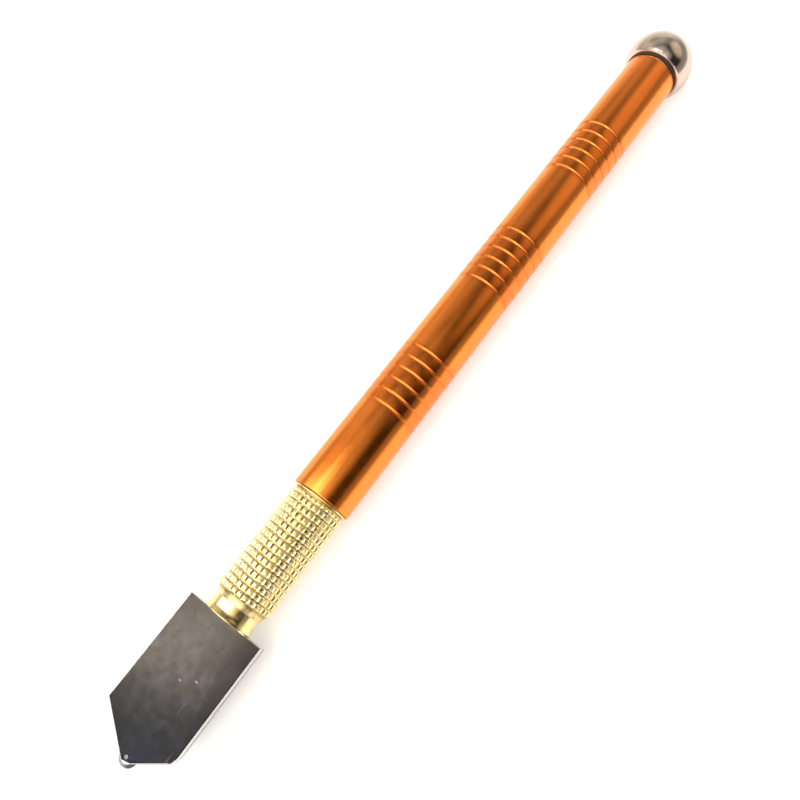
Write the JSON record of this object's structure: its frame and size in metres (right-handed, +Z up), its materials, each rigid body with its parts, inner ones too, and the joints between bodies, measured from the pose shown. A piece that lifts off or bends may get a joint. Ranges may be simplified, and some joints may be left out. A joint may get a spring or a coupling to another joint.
{
  "type": "glass cutter",
  "caption": "Pencil-shaped oil-feed glass cutter: grooved metal handle, knurled brass collar, sprung flat steel head with a small cutting wheel, and a ball cap that unscrews.",
  "frame": {"origin": "centre of the bounding box in X and Y, at the lowest point of the ball cap, the surface that the tool lies on", "axes": "+X along the tool axis from the cutting wheel to the ball cap, +Z up, normal to the flat head plate"},
  "size_m": [0.1754, 0.0154, 0.0138],
  "materials": {
    "handle": "orange anodised, satin gloss",
    "brass": "bright turned and knurled",
    "head": "dark ground steel, worn edges",
    "wheel": "ground carbide",
    "bright_steel": "bright turned",
    "nickel": "polished nickel plate",
    "spring": "drawn wire",
    "rubber": "matte",
    "felt": "pressed felt"
  },
  "bodies": {
    "handle": {"handle_tube": "handle", "filler_bush": "nickel", "joint_washer": "brass", "collar": "brass", "nipple": "brass", "nipple_o_ring": "rubber", "spring_retainer": "bright_steel", "oil_filter": "felt"},
    "plunger": {"thrust_washer": "bright_steel", "valve_pin": "brass", "valve_ball": "bright_steel", "head_spring": "spring", "valve_spring": "spring"},
    "head": {"head_holder": "brass", "shank_clip": "spring", "shank_o_ring": "rubber", "head_plate": "head", "wheel_axle": "bright_steel"},
    "wheel": {"cutting_wheel": "wheel"},
    "seal": {"cap_seal": "rubber"},
    "cap": {"cap_ball": "nickel", "cap_stud": "bright_steel"}
  },
  "joints": [
    {"name": "head_press", "type": "slide", "parent": "handle", "child": "plunger", "axis": [1, 0, 0], "range_m": [0, 0.001], "stiffness_N_per_m": 1200, "springref_m": -0.002, "deforming": ["head_spring", "valve_spring"]},
    {"name": "head_swivel", "type": "hinge", "parent": "plunger", "child": "head", "pos_m": [-0.0585, 0, 0.0069], "axis": [1, 0, 0], "continuous": true},
    {"name": "wheel_spin", "type": "hinge", "parent": "head", "child": "wheel", "pos_m": [-0.08595, -0.001, 0.0069], "axis": [0, 0, 1], "continuous": true},
    {"name": "cap_lift", "type": "slide", "parent": "handle", "child": "seal", "axis": [1, 0, 0], "range_m": [0, 0.00451]},
    {"name": "cap_turn", "type": "hinge", "parent": "seal", "child": "cap", "pos_m": [0.0808, 0, 0.0069], "axis": [1, 0, 0], "range_deg": [0, 2160]}
  ],
  "couplings": [
    {"joint": "cap_lift", "follows": "cap_turn", "m_per_rad": 0.00011937}
  ]
}
